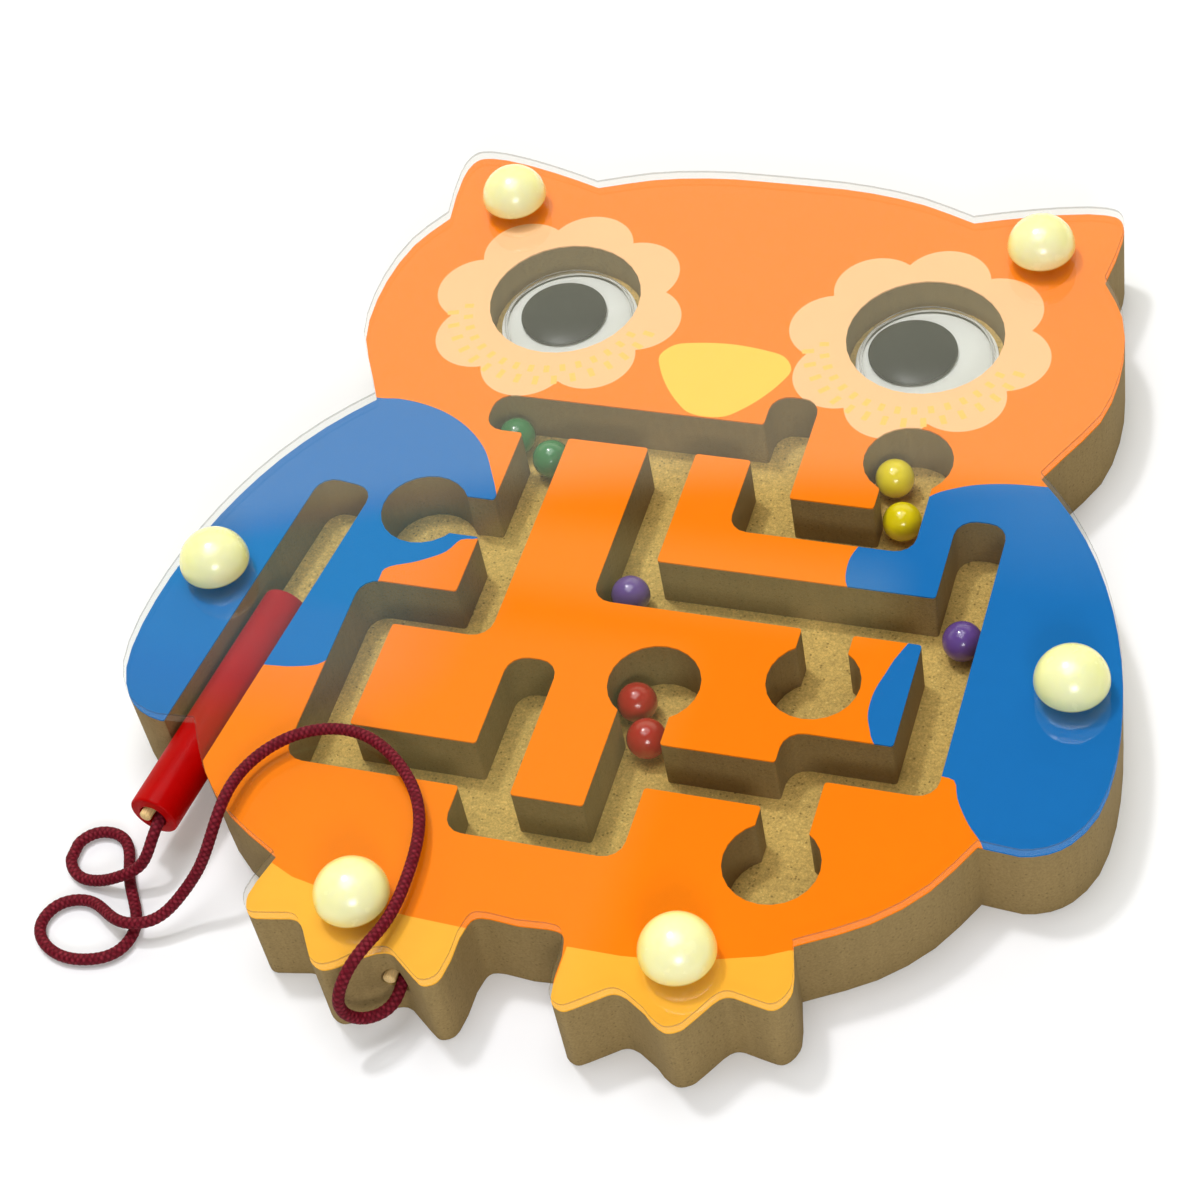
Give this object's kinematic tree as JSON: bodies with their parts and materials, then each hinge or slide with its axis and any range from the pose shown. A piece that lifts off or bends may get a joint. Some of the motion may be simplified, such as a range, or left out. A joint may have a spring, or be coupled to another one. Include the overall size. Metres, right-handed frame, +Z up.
{
  "type": "magnetic maze board",
  "caption": "Owl-shaped routed maze board with a clear cover, loose steel balls, googly eyes and a magnet wand on a cord, played by dragging balls through the channels.",
  "frame": {"origin": "middle of the board's box in X and Y, on the table under it; the cord is left out", "axes": "+Z up out of the printed face, +Y towards the owl's ears, +X towards the owl's right-hand side as seen from above"},
  "size_m": [0.197, 0.2201, 0.0291],
  "materials": {
    "mdf": "raw routed MDF, fine speckle",
    "printed_sheet": "flat printed colours",
    "clear_acrylic": "clear gloss",
    "cream_plastic": "cream gloss",
    "green_paint": "gloss paint",
    "yellow_paint": "gloss paint",
    "purple_paint": "gloss paint",
    "red_paint": "gloss paint",
    "eye_white": "satin white",
    "pupil_black": "satin black",
    "clear_dome": "clear gloss",
    "red_lacquer": "gloss red lacquer",
    "plated_magnet": "nickel plate",
    "pale_wood": "raw pale wood",
    "braided_cord": "round braid, dark red"
  },
  "bodies": {
    "board": {"maze_board": "mdf", "printed_face": "printed_sheet", "printed_face_middle": "printed_sheet", "clear_cover": "clear_acrylic", "plug_ear_left": "cream_plastic", "plug_ear_right": "cream_plastic", "plug_wing_left": "cream_plastic", "plug_wing_right": "cream_plastic", "plug_foot_left": "cream_plastic", "plug_foot_right": "cream_plastic", "eye_back_left": "eye_white", "eye_back_right": "eye_white", "eye_dome_left": "clear_dome", "eye_dome_right": "clear_dome", "foot_peg": "pale_wood", "tether_cord": "braided_cord"},
    "wand": {"wand_barrel": "red_lacquer", "wand_magnet": "plated_magnet", "wand_peg": "pale_wood"},
    "green_ball_1": {"ball_green_1": "green_paint"},
    "green_ball_2": {"ball_green_2": "green_paint"},
    "yellow_ball_1": {"ball_yellow_1": "yellow_paint"},
    "yellow_ball_2": {"ball_yellow_2": "yellow_paint"},
    "purple_ball_1": {"ball_purple_1": "purple_paint"},
    "purple_ball_2": {"ball_purple_2": "purple_paint"},
    "red_ball_1": {"ball_red_1": "red_paint"},
    "red_ball_2": {"ball_red_2": "red_paint"},
    "left_pupil": {"pupil_left": "pupil_black"},
    "right_pupil": {"pupil_right": "pupil_black"}
  },
  "joints": [
    {"name": "wand_slide", "type": "slide", "parent": "board", "child": "wand", "axis": [0.1305, 0.9914, 0], "range_m": [-0.05, 0.0275], "deforming": ["tether_cord"]},
    {"name": "green_ball_1_roll", "type": "slide", "parent": "board", "child": "green_ball_1", "axis": [0, 1, 0], "range_m": [-0.048, 0]},
    {"name": "green_ball_2_roll", "type": "slide", "parent": "board", "child": "green_ball_2", "axis": [1, 0, 0], "range_m": [0, 0.0025]},
    {"name": "yellow_ball_1_roll", "type": "slide", "parent": "board", "child": "yellow_ball_1", "axis": [0.7071, 0.7071, 0], "range_m": [0, 0.0041]},
    {"name": "yellow_ball_2_roll", "type": "slide", "parent": "board", "child": "yellow_ball_2", "axis": [0, 1, 0], "range_m": [-0.0088, 0]},
    {"name": "purple_ball_1_roll", "type": "slide", "parent": "board", "child": "purple_ball_1", "axis": [0, 1, 0], "range_m": [0, 0.038]},
    {"name": "purple_ball_2_roll", "type": "slide", "parent": "board", "child": "purple_ball_2", "axis": [0, 1, 0], "range_m": [-0.0368, 0.0195]},
    {"name": "red_ball_1_roll", "type": "slide", "parent": "board", "child": "red_ball_1", "axis": [0.7071, 0.7071, 0], "range_m": [0, 0.0062]},
    {"name": "red_ball_2_roll", "type": "slide", "parent": "board", "child": "red_ball_2", "axis": [0, 1, 0], "range_m": [-0.0274, 0]},
    {"name": "left_pupil_slide", "type": "slide", "parent": "board", "child": "left_pupil", "axis": [1, 0, 0], "range_m": [-0.002, 0.0051]},
    {"name": "right_pupil_slide", "type": "slide", "parent": "board", "child": "right_pupil", "axis": [1, 0, 0], "range_m": [-0.0005, 0.0067]}
  ]
}
